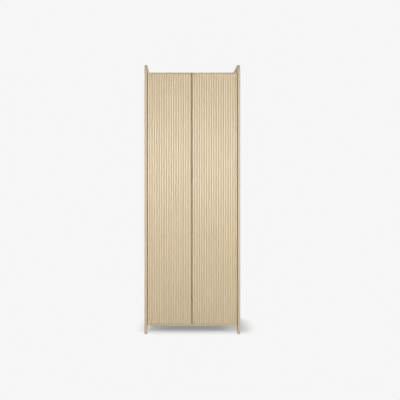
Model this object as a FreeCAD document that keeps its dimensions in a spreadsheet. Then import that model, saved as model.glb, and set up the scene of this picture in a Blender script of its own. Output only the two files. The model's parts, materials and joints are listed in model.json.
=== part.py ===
import FreeCAD, Part
import math
import os
import re
import Sketcher

# Louvred door cabinet: two gables that end in legs, boards and shelves between them,
# and two ribbed doors that turn on pivot pins. The front faces -Y, the origin is on
# the floor under the middle of the cabinet.

# Driving sizes, in millimetres
SIZES = {
    "cabinet_width": 640,
    "cabinet_depth": 430,
    "cabinet_height": 1810,
    # gables and their legs
    "gable_thickness": 18,
    "gable_rise": 58,
    "gable_top_radius": 55,
    "gable_edge_radius": 5,
    "leg_depth": 48,
    "leg_corner_radius": 10,
    "arch_height": 50,
    "arch_radius": 26,
    # top and bottom boards with their thin lips over and under the doors
    "board_thickness": 20,
    "floor_clearance": 58,
    "top_lip": 6.5,
    "bottom_lip": 10,
    "lip_setback": 11,
    "lip_edge_radius": 2,
    "board_back_inset": 10,
    # doors
    "door_gap": 2,
    "door_side_gap": 3,
    "door_gap_top": 1.5,
    "door_gap_bottom": 2,
    "door_recess": 8,
    "door_edge_radius": 1.5,
    "core_thickness": 16,
    "rib_count": 19,
    "rib_width": 10,
    "rib_depth": 6,
    # finger groove at the meeting edges
    "pull_width": 8,
    "pull_skin": 4,
    "pull_depth": 12,
    "pull_undercut": 5,
    # pivots
    "pivot_depth": 11,
    "swing_clearance": 0.5,
    "pivot_diameter": 5,
    "pivot_clearance": 0.05,
    "lower_pin_seat": 8,
    "lower_pin_reach": 18,
    "upper_pin_seat": 25,
    "upper_pin_reach": 4.5,
    "upper_bush_length": 5,
    "lower_bush_length": 20,
    "bush_diameter": 8,
    "bush_flange_diameter": 13,
    "bush_flange_gap": 0.2,
    # back panel
    "back_thickness": 6,
    "back_inset": 19,
    "groove_depth": 6,
    "groove_clearance": 0.15,
    # shelves and their pins
    "shelf_count": 5,
    "shelf_thickness": 18,
    "shelf_setback": 8,
    "shelf_side_gap": 1,
    "shelf_back_gap": 0.5,
    "shelf_edge_radius": 2,
    "shelf_pin_diameter": 5,
    "shelf_pin_seat": 9,
    "shelf_pin_reach": 9,
    "shelf_pin_spacing": 260,
    "shelf_pin_rest": 0.1,
    # dowels, cam bolts and cam discs
    "fit_clearance": 0.05,
    "dowel_diameter": 8,
    "dowel_gable_length": 10,
    "dowel_board_length": 20,
    "dowel_spacing": 190,
    "cam_spacing": 260,
    "cam_diameter": 15,
    "cam_height": 12.5,
    "cam_offset": 24,
    "cam_bolt_diameter": 6,
    "cam_bolt_seat": 10,
    # magnetic catches and strike plates
    "catch_width": 60,
    "catch_height": 13,
    "catch_seat": 30,
    "catch_gap": 0.4,
    "magnet_offset": 18,
    "magnet_width": 14,
    "magnet_height": 8,
    "magnet_depth": 6,
    "catch_screw_spacing": 36,
    "catch_screw_diameter": 3,
    "catch_screw_bite": 10,
    "catch_screw_head_diameter": 6,
    "catch_screw_head_height": 2,
    "strike_width": 20,
    "strike_height": 11,
    "strike_thickness": 1.5,
    "strike_screw_diameter": 3,
    "strike_screw_head_diameter": 5.4,
    "strike_screw_length": 8,
    # wall brackets
    "bracket_spacing": 380,
    "bracket_width": 40,
    "bracket_leg": 30,
    "bracket_steel": 2,
    "bracket_bend_radius": 3,
    "bracket_corner_radius": 6,
    "wall_hole_diameter": 5.5,
    "wall_hole_height": 17,
    "bracket_screw_spacing": 20,
    "bracket_screw_inset": 22,
    "bracket_screw_diameter": 4,
    "bracket_screw_length": 14,
    "bracket_screw_head_diameter": 8,
    "bracket_screw_head_height": 2.5,
    # glides under the legs
    "glide_height": 2,
    "glide_diameter": 12,
    "glide_shank_diameter": 3.5,
    "glide_shank_length": 12,
}

# Places and lengths that follow from the driving sizes
PLACES = {
    "half_width": "cabinet_width / 2",
    "inner_face": "half_width - gable_thickness",
    "gable_middle": "half_width - gable_thickness / 2",
    "front_face": "-cabinet_depth / 2",
    "back_face": "cabinet_depth / 2",
    "leg_middle": "cabinet_depth / 2 - leg_depth / 2",
    "crest": "front_face + door_recess",
    "core_front": "crest + rib_depth",
    "core_back": "core_front + core_thickness",
    "lip_front": "front_face + lip_setback",
    "board_back": "back_face - board_back_inset",
    "bottom_top": "floor_clearance + board_thickness",
    "bottom_lip_top": "floor_clearance + bottom_lip",
    "top_top": "cabinet_height - gable_rise",
    "top_under": "top_top - board_thickness",
    "top_lip_under": "top_top - top_lip",
    "door_bottom": "bottom_lip_top + door_gap_bottom",
    "door_top": "top_lip_under - door_gap_top",
    "door_outer": "inner_face - door_side_gap",
    "door_inner": "door_gap / 2",
    "rib_nose": "rib_width / 2",
    "rib_pitch": "(door_outer - door_inner - rib_width) / (rib_count - 1)",
    "channel_front": "core_front + pull_skin",
    "channel_back": "core_front + pull_depth",
    "free_gap": "door_side_gap - swing_clearance",
    "nose_reach": "(pivot_depth - rib_nose)^2 + rib_nose^2",
    "pivot_inset": "(nose_reach - (free_gap - rib_nose)^2) / (2 * free_gap)",
    "pivot_across": "door_outer - pivot_inset",
    "pivot_back": "crest + pivot_depth",
    "swing_reach": "sqrt(pivot_inset^2 + (core_back - pivot_back)^2)",
    "stop_face": "pivot_back + swing_reach + swing_clearance",
    "back_front": "back_face - back_inset - back_thickness",
    "shelf_front": "stop_face + shelf_setback",
    "shelf_back": "back_front - shelf_back_gap",
    "shelf_middle": "(shelf_front + shelf_back) / 2",
    "shelf_clear": "(top_under - bottom_top - shelf_count * shelf_thickness) / (shelf_count + 1)",
    "shelf_step": "shelf_clear + shelf_thickness",
    "board_middle": "(stop_face + board_back) / 2",
    "bush_radius": "bush_diameter / 2",
    "bush_bore": "pivot_diameter / 2 + pivot_clearance",
    "cam_radius": "cam_diameter / 2",
    "cam_bolt_reach": "cam_offset - cam_radius - fit_clearance",
    "catch_front": "core_back + catch_gap",
    "catch_back": "stop_face + catch_seat",
    "catch_screw_place": "stop_face + catch_seat / 2",
}

TINY = 0.001
SIDES = {"left": "-", "right": ""}
OUTWARD = {"left": "-x", "right": "x"}
INWARD = {"left": "x", "right": "-x"}
TURNS = {
    "x": FreeCAD.Rotation(FreeCAD.Vector(0, 1, 0), 90),
    "-x": FreeCAD.Rotation(FreeCAD.Vector(0, 1, 0), -90),
    "y": FreeCAD.Rotation(FreeCAD.Vector(1, 0, 0), -90),
    "-y": FreeCAD.Rotation(FreeCAD.Vector(1, 0, 0), 90),
    "z": FreeCAD.Rotation(),
    "-z": FreeCAD.Rotation(FreeCAD.Vector(1, 0, 0), 180),
}

doc = FreeCAD.newDocument("louvred_door_cabinet")
nodes = []


def refer(text, own_sheet=""):
    """Gives each size or place named in a formula the sheet that it stands in."""
    def with_sheet(match):
        name = match.group()
        sheet = "Sizes" if name in SIZES else "Places" if name in PLACES else own_sheet
        return name if sheet == own_sheet else f"{sheet}.{name}"
    return re.sub(r"[a-z][a-z_]*", with_sheet, text)


def fill_sheet(name, cells):
    """Writes one row per value: its name, and the value under that name as alias."""
    sheet = doc.addObject("Spreadsheet::Sheet", name)
    for row, (alias, content) in enumerate(cells.items(), start=1):
        sheet.set(f"A{row}", alias)
        sheet.set(f"B{row}", content)
        sheet.setAlias(f"B{row}", alias)
    doc.recompute()
    return sheet


def name_formula(text):
    """A formula for the sheet of places, which names its own places directly."""
    return "=" + refer(text, "Places")


sizes = fill_sheet("Sizes", {alias: str(value) for alias, value in SIZES.items()})
places = fill_sheet("Places", {alias: name_formula(text) for alias, text in PLACES.items()})


def number(text):
    """The present value of a formula."""
    return float(sizes.evalExpression(refer(text)))


def bind(item, path, text):
    item.setExpression(path, refer(text))


def place(item, spot):
    """Binds the three coordinates of an object's place."""
    for axis, text in zip("xyz", spot):
        bind(item, f"Placement.Base.{axis}", text)


def keep(item, label):
    """Marks a finished piece as a node of the cabinet."""
    item.Label = label
    nodes.append(item)
    return item


# Solids


def box(label, size, corner):
    item = doc.addObject("Part::Box", label)
    for path, text in zip(("Length", "Width", "Height"), size):
        bind(item, path, text)
    place(item, corner)
    return item


def cylinder(label, radius, length, start, axis):
    item = doc.addObject("Part::Cylinder", label)
    item.Placement.Rotation = TURNS[axis]
    bind(item, "Radius", radius)
    bind(item, "Height", length)
    place(item, start)
    return item


def cone(label, start_radius, end_radius, length, start, axis):
    item = doc.addObject("Part::Cone", label)
    item.Placement.Rotation = TURNS[axis]
    bind(item, "Radius1", start_radius)
    bind(item, "Radius2", end_radius)
    bind(item, "Height", length)
    place(item, start)
    return item


def fuse(label, pieces):
    item = doc.addObject("Part::MultiFuse", label)
    item.Shapes = pieces
    return item


def cut(label, blank, cutters):
    item = doc.addObject("Part::Cut", label)
    item.Base = blank
    item.Tool = fuse(f"{label}_cuts", cutters) if len(cutters) > 1 else cutters[0]
    return item


def group(label, pieces):
    """Several equal solids that make one node."""
    item = doc.addObject("Part::Compound", label)
    item.Links = pieces
    return item


# Bodies drawn as a section and extruded


def origin_feature(body, role):
    return next(item for item in body.Origin.OriginFeatures if item.Role == role)


def sketch_on(body, role):
    sketch = body.newObject("Sketcher::SketchObject", f"{body.Label}_section")
    sketch.AttachmentSupport = [(origin_feature(body, role), "")]
    sketch.MapMode = "FlatFace"
    return sketch


def fix_point(sketch, line, end, spot):
    """Ties one point of a sketch to the origin in both directions."""
    for kind, text in zip(("DistanceX", "DistanceY"), spot):
        rule = Sketcher.Constraint(kind, -1, 1, line, end, number(text))
        bind(sketch, f"Constraints[{sketch.addConstraint(rule)}]", text)


def spot_of(corner):
    return FreeCAD.Vector(number(corner[0]), number(corner[1]), 0)


def draw_outline(sketch, corners):
    """A closed outline of straight lines through the corners."""
    spots = [spot_of(corner) for corner in corners]
    for here, there in zip(spots, spots[1:] + spots[:1]):
        sketch.addGeometry(Part.LineSegment(here, there))
    for line, corner in enumerate(corners):
        after = (line + 1) % len(corners)
        sketch.addConstraint(Sketcher.Constraint("Coincident", line, 2, after, 1))
        fix_point(sketch, line, 1, corner)


def pad(body, sketch, length, backwards=False):
    feature = body.newObject("PartDesign::Pad", f"{body.Label}_pad")
    feature.Profile = sketch
    feature.Reversed = backwards
    bind(feature, "Length", length)
    body.Tip = feature
    doc.recompute()
    return feature


def prism(label, role, corners, length, start, backwards=False):
    """A straight body with an outline of straight lines as its section."""
    body = doc.addObject("PartDesign::Body", label)
    sketch = sketch_on(body, role)
    draw_outline(sketch, corners)
    place(body, start)
    pad(body, sketch, length, backwards)
    return body


def along_width(edge):
    return edge.BoundBox.XLength > TINY


def lies_at(edge, **where):
    """True for an edge that lies wholly at the given coordinates of its body."""
    bounds = edge.BoundBox
    for axis, text in where.items():
        low = getattr(bounds, f"{axis.upper()}Min")
        high = getattr(bounds, f"{axis.upper()}Max")
        if max(abs(low - number(text)), abs(high - number(text))) > TINY:
            return False
    return True


def round_edges(body, radius, wanted):
    """Rounds the edges of a body that the test picks."""
    base = body.Tip
    picked = [f"Edge{n}" for n, edge in enumerate(base.Shape.Edges, start=1) if wanted(edge)]
    if not picked:
        raise RuntimeError(f"{body.Label}: no edge to round by {radius}")
    feature = body.newObject("PartDesign::Fillet", f"{body.Label}_round")
    feature.Base = (base, picked)
    bind(feature, "Radius", radius)
    body.Tip = feature
    doc.recompute()


# Holes that pieces get from the pieces that they hold
gable_cuts = {"left": [], "right": []}
board_cuts = {"top": [], "bottom": [], "shelf": []}
core_cuts = {"left": [], "right": []}


def shelf_under(level):
    """Underside of a shelf, counted from the lowest one up."""
    return f"bottom_top + {level} * shelf_step - shelf_thickness"


fixed_level = (SIZES["shelf_count"] + 1) // 2
loose_levels = [level for level in range(1, SIZES["shelf_count"] + 1) if level != fixed_level]


# Dowels and cam fittings at the ends of the three boards that hold the gables together
BOARD_UNDERSIDES = {
    "top": "top_under", "bottom": "floor_clearance", "shelf": shelf_under(fixed_level)}
BOARD_THICKNESSES = {
    "top": "board_thickness", "bottom": "board_thickness", "shelf": "shelf_thickness"}


def row_pair(spacing, middle):
    return [f"{middle} - {spacing} / 2", f"{middle} + {spacing} / 2"]


def board_fittings():
    dowels, bolts, discs = [], [], []
    for board, under in BOARD_UNDERSIDES.items():
        middle = "shelf_middle" if board == "shelf" else "board_middle"
        height = f"{under} + {BOARD_THICKNESSES[board]} / 2"
        for side, sign in SIDES.items():
            for across in row_pair("dowel_spacing", middle):
                dowels.append(cylinder(
                    "dowel", "dowel_diameter / 2", "dowel_gable_length + dowel_board_length",
                    (f"{sign}(inner_face + dowel_gable_length)", across, height), INWARD[side]))
                bore = "dowel_diameter / 2 + fit_clearance"
                mouth = (f"{sign}inner_face", across, height)
                gable_cuts[side].append(cylinder(
                    "dowel_hole", bore, "dowel_gable_length + fit_clearance", mouth, OUTWARD[side]))
                board_cuts[board].append(cylinder(
                    "dowel_hole", bore, "dowel_board_length + fit_clearance", mouth, INWARD[side]))
            for across in row_pair("cam_spacing", middle):
                bolts.append(cylinder(
                    "cam_bolt", "cam_bolt_diameter / 2", "cam_bolt_seat + cam_bolt_reach",
                    (f"{sign}(inner_face + cam_bolt_seat)", across, height), INWARD[side]))
                centre = (f"{sign}(inner_face - cam_offset)", across, under)
                discs.append(cylinder("cam_disc", "cam_radius", "cam_height", centre, "z"))
                bore = "cam_bolt_diameter / 2 + fit_clearance"
                mouth = (f"{sign}inner_face", across, height)
                gable_cuts[side].append(cylinder(
                    "bolt_hole", bore, "cam_bolt_seat + fit_clearance", mouth, OUTWARD[side]))
                board_cuts[board].append(cylinder(
                    "bolt_hole", bore, "cam_offset", mouth, INWARD[side]))
                board_cuts[board].append(cylinder(
                    "cam_hole", "cam_radius + fit_clearance", "cam_height + fit_clearance",
                    centre, "z"))
    keep(group("carcass_dowels", dowels), "carcass_dowels")
    keep(group("cam_bolts", bolts), "cam_bolts")
    keep(group("cam_discs", discs), "cam_discs")


# Pins under the loose shelves
def shelf_pins():
    pins = []
    for level in loose_levels:
        height = f"{shelf_under(level)} - shelf_pin_diameter / 2 - shelf_pin_rest"
        for side, sign in SIDES.items():
            for across in row_pair("shelf_pin_spacing", "shelf_middle"):
                pins.append(cylinder(
                    "shelf_pin", "shelf_pin_diameter / 2", "shelf_pin_seat + shelf_pin_reach",
                    (f"{sign}(inner_face + shelf_pin_seat)", across, height), INWARD[side]))
                gable_cuts[side].append(cylinder(
                    "shelf_pin_hole", "shelf_pin_diameter / 2 + fit_clearance",
                    "shelf_pin_seat + fit_clearance",
                    (f"{sign}inner_face", across, height), OUTWARD[side]))
    keep(group("shelf_pins", pins), "shelf_pins")


# Back panel, held in grooves on all four sides
def back_panel():
    edge = "groove_depth - groove_clearance"
    panel = box(
        "back_panel",
        (f"2 * (inner_face + {edge})", "back_thickness", f"top_under - bottom_top + 2 * ({edge})"),
        (f"-(inner_face + {edge})", "back_front", f"bottom_top - ({edge})"))
    keep(panel, "back_panel")
    width = "back_thickness + 2 * groove_clearance"
    near = "back_front - groove_clearance"
    tall = "top_under - bottom_top + 2 * groove_depth"
    for side in SIDES:
        start = "inner_face" if side == "right" else "-(inner_face + groove_depth)"
        gable_cuts[side].append(box(
            f"{side}_groove", ("groove_depth", width, tall),
            (start, near, "bottom_top - groove_depth")))
    for board, low in (("top", "top_under"), ("bottom", "bottom_top - groove_depth")):
        board_cuts[board].append(box(
            f"{board}_groove", ("2 * inner_face", width, "groove_depth"),
            ("-inner_face", near, low)))


# Pivots: a pin in the bottom lip under each door, a pin in each door under the top lip
def pivots():
    lower_pins, upper_bushes = [], []
    pin_radius = "pivot_diameter / 2"
    for side, sign in SIDES.items():
        across = f"{sign}pivot_across"
        lower_pins.append(cylinder(
            f"{side}_lower_pin", pin_radius, "lower_pin_seat + door_gap_bottom + lower_pin_reach",
            (across, "pivot_back", "bottom_lip_top - lower_pin_seat"), "z"))
        board_cuts["bottom"].append(cylinder(
            f"{side}_lower_pin_hole", f"{pin_radius} + fit_clearance",
            "lower_pin_seat + fit_clearance",
            (across, "pivot_back", "bottom_lip_top"), "-z"))
        upper_bushes.append(cut(f"{side}_upper_bush", cylinder(
            f"{side}_upper_bush_blank", "bush_radius", "upper_bush_length",
            (across, "pivot_back", "top_lip_under"), "z"), [cylinder(
                f"{side}_upper_bush_bore", "bush_bore", "upper_bush_length",
                (across, "pivot_back", "top_lip_under"), "z")]))
        board_cuts["top"].append(cylinder(
            f"{side}_upper_bush_hole", "bush_radius + fit_clearance",
            "upper_bush_length + fit_clearance",
            (across, "pivot_back", "top_lip_under"), "z"))
        upper_pin = cylinder(
            f"{side}_upper_pivot_pin", pin_radius,
            "upper_pin_seat + door_gap_top + upper_pin_reach",
            (across, "pivot_back", "door_top - upper_pin_seat"), "z")
        keep(upper_pin, f"{side}_upper_pivot_pin")
        core_cuts[side].append(cylinder(
            f"{side}_upper_pin_hole", f"{pin_radius} + fit_clearance",
            "upper_pin_seat + fit_clearance",
            (across, "pivot_back", "door_top"), "-z"))
        sleeve = cylinder(
            f"{side}_lower_bush_sleeve", "bush_radius", "lower_bush_length",
            (across, "pivot_back", "door_bottom"), "z")
        flange = cylinder(
            f"{side}_lower_bush_flange", "bush_flange_diameter / 2",
            "door_gap_bottom - bush_flange_gap",
            (across, "pivot_back", "bottom_lip_top + bush_flange_gap"), "z")
        bore = cylinder(
            f"{side}_lower_bush_bore", "bush_bore", "lower_bush_length + door_gap_bottom",
            (across, "pivot_back", "bottom_lip_top"), "z")
        blank = fuse(f"{side}_lower_bush_blank", [sleeve, flange])
        bush = cut(f"{side}_lower_bush", blank, [bore])
        keep(bush, f"{side}_lower_pivot_bush")
        core_cuts[side].append(cylinder(
            f"{side}_lower_bush_hole", "bush_radius + fit_clearance",
            "lower_bush_length + fit_clearance",
            (across, "pivot_back", "door_bottom"), "z"))
    keep(group("lower_pivot_pins", lower_pins), "lower_pivot_pins")
    keep(group("upper_pivot_bushes", upper_bushes), "upper_pivot_bushes")


# Magnetic catches under the top board and on the bottom board, strike plates on the doors
def screw(label, radius, length, head_radius, head_height, seat, axis, head_axis):
    """A screw with a flat round head, its shank running from the seat along the axis."""
    shank = cylinder(f"{label}_shank", radius, length, seat, axis)
    head = cylinder(f"{label}_head", head_radius, head_height, seat, head_axis)
    return fuse(label, [shank, head])


def catches():
    magnets, screws = [], []
    levels = {
        "upper": ("top_under - catch_height", "top_under - catch_height", "z", "-z", "top"),
        "lower": ("bottom_top", "bottom_top + catch_height", "-z", "z", "bottom"),
    }
    for level, (low, seat, axis, head_axis, board) in levels.items():
        hollows = []
        blank = box(
            f"{level}_catch_blank", ("catch_width", "catch_back - catch_front", "catch_height"),
            ("-catch_width / 2", "catch_front", low))
        for side, sign in SIDES.items():
            start = f"{sign}magnet_offset - magnet_width / 2"
            corner = (start, "catch_front", f"{low} + (catch_height - magnet_height) / 2")
            size = ("magnet_width", "magnet_depth", "magnet_height")
            magnets.append(box(f"{level}_{side}_magnet", size, corner))
            hollows.append(box(f"{level}_{side}_magnet_pocket", size, corner))
            spot = (f"{sign}catch_screw_spacing / 2", "catch_screw_place", seat)
            screws.append(screw(
                f"{level}_{side}_catch_screw", "catch_screw_diameter / 2",
                "catch_height + catch_screw_bite", "catch_screw_head_diameter / 2",
                "catch_screw_head_height", spot, axis, head_axis))
            bore = "catch_screw_diameter / 2 + fit_clearance"
            hollows.append(cylinder(f"{level}_{side}_screw_hole", bore, "catch_height", spot, axis))
            board_cuts[board].append(cylinder(
                f"{level}_{side}_screw_hole", bore,
                "catch_height + catch_screw_bite + fit_clearance", spot, axis))
        keep(cut(f"{level}_catch", blank, hollows), f"{level}_catch_housing")
    keep(group("catch_magnets", magnets), "catch_magnets")
    keep(group("catch_screws", screws), "catch_screws")


def strikes():
    shank = "strike_screw_diameter / 2"
    head = "strike_screw_head_diameter / 2"
    heights = {
        "upper": "top_under - catch_height / 2",
        "lower": "bottom_top + catch_height / 2",
    }
    for side, sign in SIDES.items():
        plates, screws = [], []
        for level, height in heights.items():
            corner = (
                f"{sign}magnet_offset - strike_width / 2", "core_back - strike_thickness",
                f"{height} - strike_height / 2")
            size = ("strike_width", "strike_thickness", "strike_height")
            spot = (f"{sign}magnet_offset", "core_back", height)
            sink = cone(
                f"{side}_{level}_sink", f"{head} + fit_clearance", f"{shank} + fit_clearance",
                "strike_thickness", spot, "-y")
            plate = box(f"{side}_{level}_plate", size, corner)
            plates.append(cut(f"{side}_{level}_strike", plate, [sink]))
            core_cuts[side].append(box(f"{side}_{level}_strike_seat", size, corner))
            screws.append(fuse(f"{side}_{level}_strike_screw", [
                cone(f"{side}_{level}_screw_head", head, shank, "strike_thickness", spot, "-y"),
                cylinder(f"{side}_{level}_screw_shank", shank, "strike_screw_length", spot, "-y")]))
            core_cuts[side].append(cylinder(
                f"{side}_{level}_strike_hole", f"{shank} + fit_clearance",
                "strike_screw_length + fit_clearance", spot, "-y"))
        keep(group(f"{side}_strikes", plates), f"{side}_strike_plates")
        keep(group(f"{side}_strike_fixings", screws), f"{side}_strike_screws")


# Wall brackets on the back of the top board
def wall_brackets():
    screws = []
    section = [
        ("back_face - bracket_leg", "top_top"),
        ("back_face", "top_top"),
        ("back_face", "top_top + bracket_leg"),
        ("back_face - bracket_steel", "top_top + bracket_leg"),
        ("back_face - bracket_steel", "top_top + bracket_steel"),
        ("back_face - bracket_leg", "top_top + bracket_steel"),
    ]
    for side, sign in SIDES.items():
        middle = f"{sign}bracket_spacing / 2"
        angle = prism(
            f"{side}_bracket_angle", "YZ_Plane", section, "bracket_width",
            (f"{middle} - bracket_width / 2", "0", "0"))
        round_edges(angle, "bracket_bend_radius", lambda edge: lies_at(
            edge, y="back_face", z="top_top"))
        round_edges(angle, "bracket_bend_radius - bracket_steel", lambda edge: lies_at(
            edge, y="back_face - bracket_steel", z="top_top + bracket_steel"))
        round_edges(angle, "bracket_corner_radius", lambda edge: not along_width(edge) and (
            lies_at(edge, y="back_face - bracket_leg")
            or lies_at(edge, z="top_top + bracket_leg")))
        holes = [cylinder(
            f"{side}_wall_hole", "wall_hole_diameter / 2", "bracket_steel",
            (middle, "back_face", "top_top + wall_hole_height"), "-y")]
        for across in row_pair("bracket_screw_spacing", middle):
            spot = (across, "back_face - bracket_screw_inset", "top_top + bracket_steel")
            screws.append(screw(
                f"{side}_bracket_screw", "bracket_screw_diameter / 2", "bracket_screw_length",
                "bracket_screw_head_diameter / 2", "bracket_screw_head_height", spot, "-z", "z"))
            bore = "bracket_screw_diameter / 2 + fit_clearance"
            holes.append(cylinder(f"{side}_bracket_hole", bore, "bracket_steel", spot, "-z"))
            board_cuts["top"].append(cylinder(
                f"{side}_bracket_hole", bore, "bracket_screw_length + fit_clearance", spot, "-z"))
        keep(cut(f"{side}_bracket", angle, holes), f"{side}_wall_bracket")
    keep(group("bracket_screws", screws), "wall_bracket_screws")


# Glides nailed under the four legs
def foot_glides():
    glides = []
    for side, sign in SIDES.items():
        for along in ("-leg_middle", "leg_middle"):
            spot = (f"{sign}gable_middle", along, "0")
            foot = cylinder("glide_foot", "glide_diameter / 2", "glide_height", spot, "z")
            shank = cylinder(
                "glide_shank", "glide_shank_diameter / 2", "glide_height + glide_shank_length",
                spot, "z")
            glides.append(fuse("glide", [foot, shank]))
            gable_cuts[side].append(cylinder(
                "glide_hole", "glide_shank_diameter / 2 + fit_clearance",
                "glide_height + glide_shank_length + fit_clearance", spot, "z"))
    keep(group("glides", glides), "foot_glides")


# Top board, bottom board and shelves
def boards():
    top = prism("top_board_blank", "YZ_Plane", [
        ("lip_front", "top_lip_under"),
        ("stop_face", "top_lip_under"),
        ("stop_face", "top_under"),
        ("board_back", "top_under"),
        ("board_back", "top_top"),
        ("lip_front", "top_top"),
    ], "2 * inner_face", ("-inner_face", "0", "0"))
    bottom = prism("bottom_board_blank", "YZ_Plane", [
        ("lip_front", "floor_clearance"),
        ("board_back", "floor_clearance"),
        ("board_back", "bottom_top"),
        ("stop_face", "bottom_top"),
        ("stop_face", "bottom_lip_top"),
        ("lip_front", "bottom_lip_top"),
    ], "2 * inner_face", ("-inner_face", "0", "0"))
    for name, board in (("top", top), ("bottom", bottom)):
        round_edges(board, "lip_edge_radius", lambda edge: along_width(edge) and lies_at(
            edge, y="lip_front"))
        keep(cut(f"{name}_board_drilled", board, board_cuts[name]), f"{name}_board")


def shelf(label, level, side_gap):
    under = shelf_under(level)
    half = f"(inner_face - {side_gap})"
    body = prism(label, "YZ_Plane", [
        ("shelf_front", under),
        ("shelf_back", under),
        ("shelf_back", f"{under} + shelf_thickness"),
        ("shelf_front", f"{under} + shelf_thickness"),
    ], f"2 * {half}", (f"-{half}", "0", "0"))
    round_edges(body, "shelf_edge_radius", lambda edge: along_width(edge) and lies_at(
        edge, y="shelf_front"))
    return body


def shelves():
    blank = shelf("fixed_shelf_blank", fixed_level, "0")
    keep(cut("fixed_shelf_drilled", blank, board_cuts["shelf"]), "fixed_shelf")
    for count, level in enumerate(loose_levels, start=1):
        keep(shelf(f"loose_shelf_{count}", level, "shelf_side_gap"), f"adjustable_shelf_{count}")


# Gables: plates with rounded top corners, a cut-out between the legs and rounded edges
def gables():
    leg_line = "(cabinet_depth / 2 - leg_depth)"
    outline = [
        ("front_face", "glide_height"),
        (f"-{leg_line}", "glide_height"),
        (f"-{leg_line}", "arch_height"),
        (leg_line, "arch_height"),
        (leg_line, "glide_height"),
        ("back_face", "glide_height"),
        ("back_face", "cabinet_height"),
        ("front_face", "cabinet_height"),
    ]
    for side, sign in SIDES.items():
        plate = prism(
            f"{side}_gable_blank", "YZ_Plane", outline, "gable_thickness",
            (f"{sign}half_width", "0", "0"), backwards=side == "right")
        corners = (
            ("gable_top_radius", "cabinet_height"), ("arch_radius", "arch_height"),
            ("leg_corner_radius", "glide_height"))
        for radius, height in corners:
            round_edges(plate, radius, lambda edge: along_width(edge) and lies_at(edge, z=height))
        round_edges(plate, "gable_edge_radius", lambda edge: not along_width(edge))
        keep(cut(f"{side}_gable_drilled", plate, gable_cuts[side]), f"{side}_gable")


# Doors: a board each, with slats on its front and a groove for the fingers at the meeting edge
def door_cores():
    right = [
        ("door_inner", "core_front"),
        ("door_outer", "core_front"),
        ("door_outer", "core_back"),
        ("door_inner", "core_back"),
        ("door_inner", "channel_back"),
        ("door_inner + pull_undercut", "channel_back"),
        ("door_inner + pull_undercut", "channel_front"),
        ("door_inner", "channel_front"),
    ]
    left = [
        ("-door_outer", "core_front"),
        ("-(door_inner + pull_width)", "core_front"),
        ("-(door_inner + pull_width)", "channel_front"),
        ("-(door_inner + pull_width + pull_undercut)", "channel_front"),
        ("-(door_inner + pull_width + pull_undercut)", "channel_back"),
        ("-door_inner", "channel_back"),
        ("-door_inner", "core_back"),
        ("-door_outer", "core_back"),
    ]
    for side, section in (("left", left), ("right", right)):
        core = prism(
            f"{side}_core_blank", "XY_Plane", section, "door_top - door_bottom",
            ("0", "0", "door_bottom"))
        round_edges(
            core, "door_edge_radius",
            lambda edge: edge.BoundBox.ZLength > TINY and lies_at(edge, y="core_back"))
        keep(cut(f"{side}_core_drilled", core, core_cuts[side]), f"{side}_door_core")


def door_slats(label, first_centre, count):
    """Vertical strips with round noses, side by side at the rib pitch."""
    body = doc.addObject("PartDesign::Body", label)
    sketch = sketch_on(body, "XY_Plane")
    left, right = f"{first_centre} - rib_nose", f"{first_centre} + rib_nose"
    shoulder = "crest + rib_nose"
    corners = [(left, shoulder), (left, "core_front"), (right, "core_front"), (right, shoulder)]
    for here, there in zip(corners, corners[1:]):
        sketch.addGeometry(Part.LineSegment(spot_of(here), spot_of(there)))
    middle = spot_of((first_centre, shoulder))
    circle = Part.Circle(middle, FreeCAD.Vector(0, 0, 1), number("rib_nose"))
    nose = sketch.addGeometry(Part.ArcOfCircle(circle, math.pi, 2 * math.pi))
    for line in (0, 1):
        sketch.addConstraint(Sketcher.Constraint("Coincident", line, 2, line + 1, 1))
    sketch.addConstraint(Sketcher.Constraint("Coincident", nose, 1, 0, 1))
    sketch.addConstraint(Sketcher.Constraint("Coincident", nose, 2, 2, 2))
    for line in (0, 1, 2):
        fix_point(sketch, line, 1, corners[line])
    fix_point(sketch, 2, 2, corners[3])
    rule = Sketcher.Constraint("DistanceY", -1, 1, nose, 3, number(shoulder))
    bind(sketch, f"Constraints[{sketch.addConstraint(rule)}]", shoulder)
    place(body, ("0", "0", "door_bottom"))
    strip = pad(body, sketch, "door_top - door_bottom")
    row = body.newObject("PartDesign::LinearPattern", f"{label}_row")
    row.Originals = [strip]
    row.Direction = (origin_feature(body, "X_Axis"), [""])
    bind(row, "Length", f"({count} - 1) * rib_pitch")
    bind(row, "Occurrences", count)
    body.Tip = row
    keep(body, label)


board_fittings()
shelf_pins()
back_panel()
pivots()
catches()
strikes()
wall_brackets()
foot_glides()
boards()
shelves()
gables()
door_cores()
door_slats("left_door_slats", "-door_outer + rib_nose", "rib_count - 1")
door_slats("right_door_slats", "door_inner + rib_nose", "rib_count")
doc.recompute()

# Every object is sound before anything is written
for item in doc.Objects:
    if "Invalid" in item.State or "Error" in item.State:
        raise RuntimeError(f"{item.Label} failed: {item.State}")
for item in nodes:
    if item.Shape.isNull() or not item.Shape.isValid() or not item.Shape.Solids:
        raise RuntimeError(f"{item.Label} has no sound shape")

os.makedirs("parts", exist_ok=True)
for item in nodes:
    item.Shape.exportStep(f"parts/{item.Label}.step")
    print(f"{item.Label}: {len(item.Shape.Solids)} solids, {item.Shape.Volume / 1000:.2f} cm3")
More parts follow.
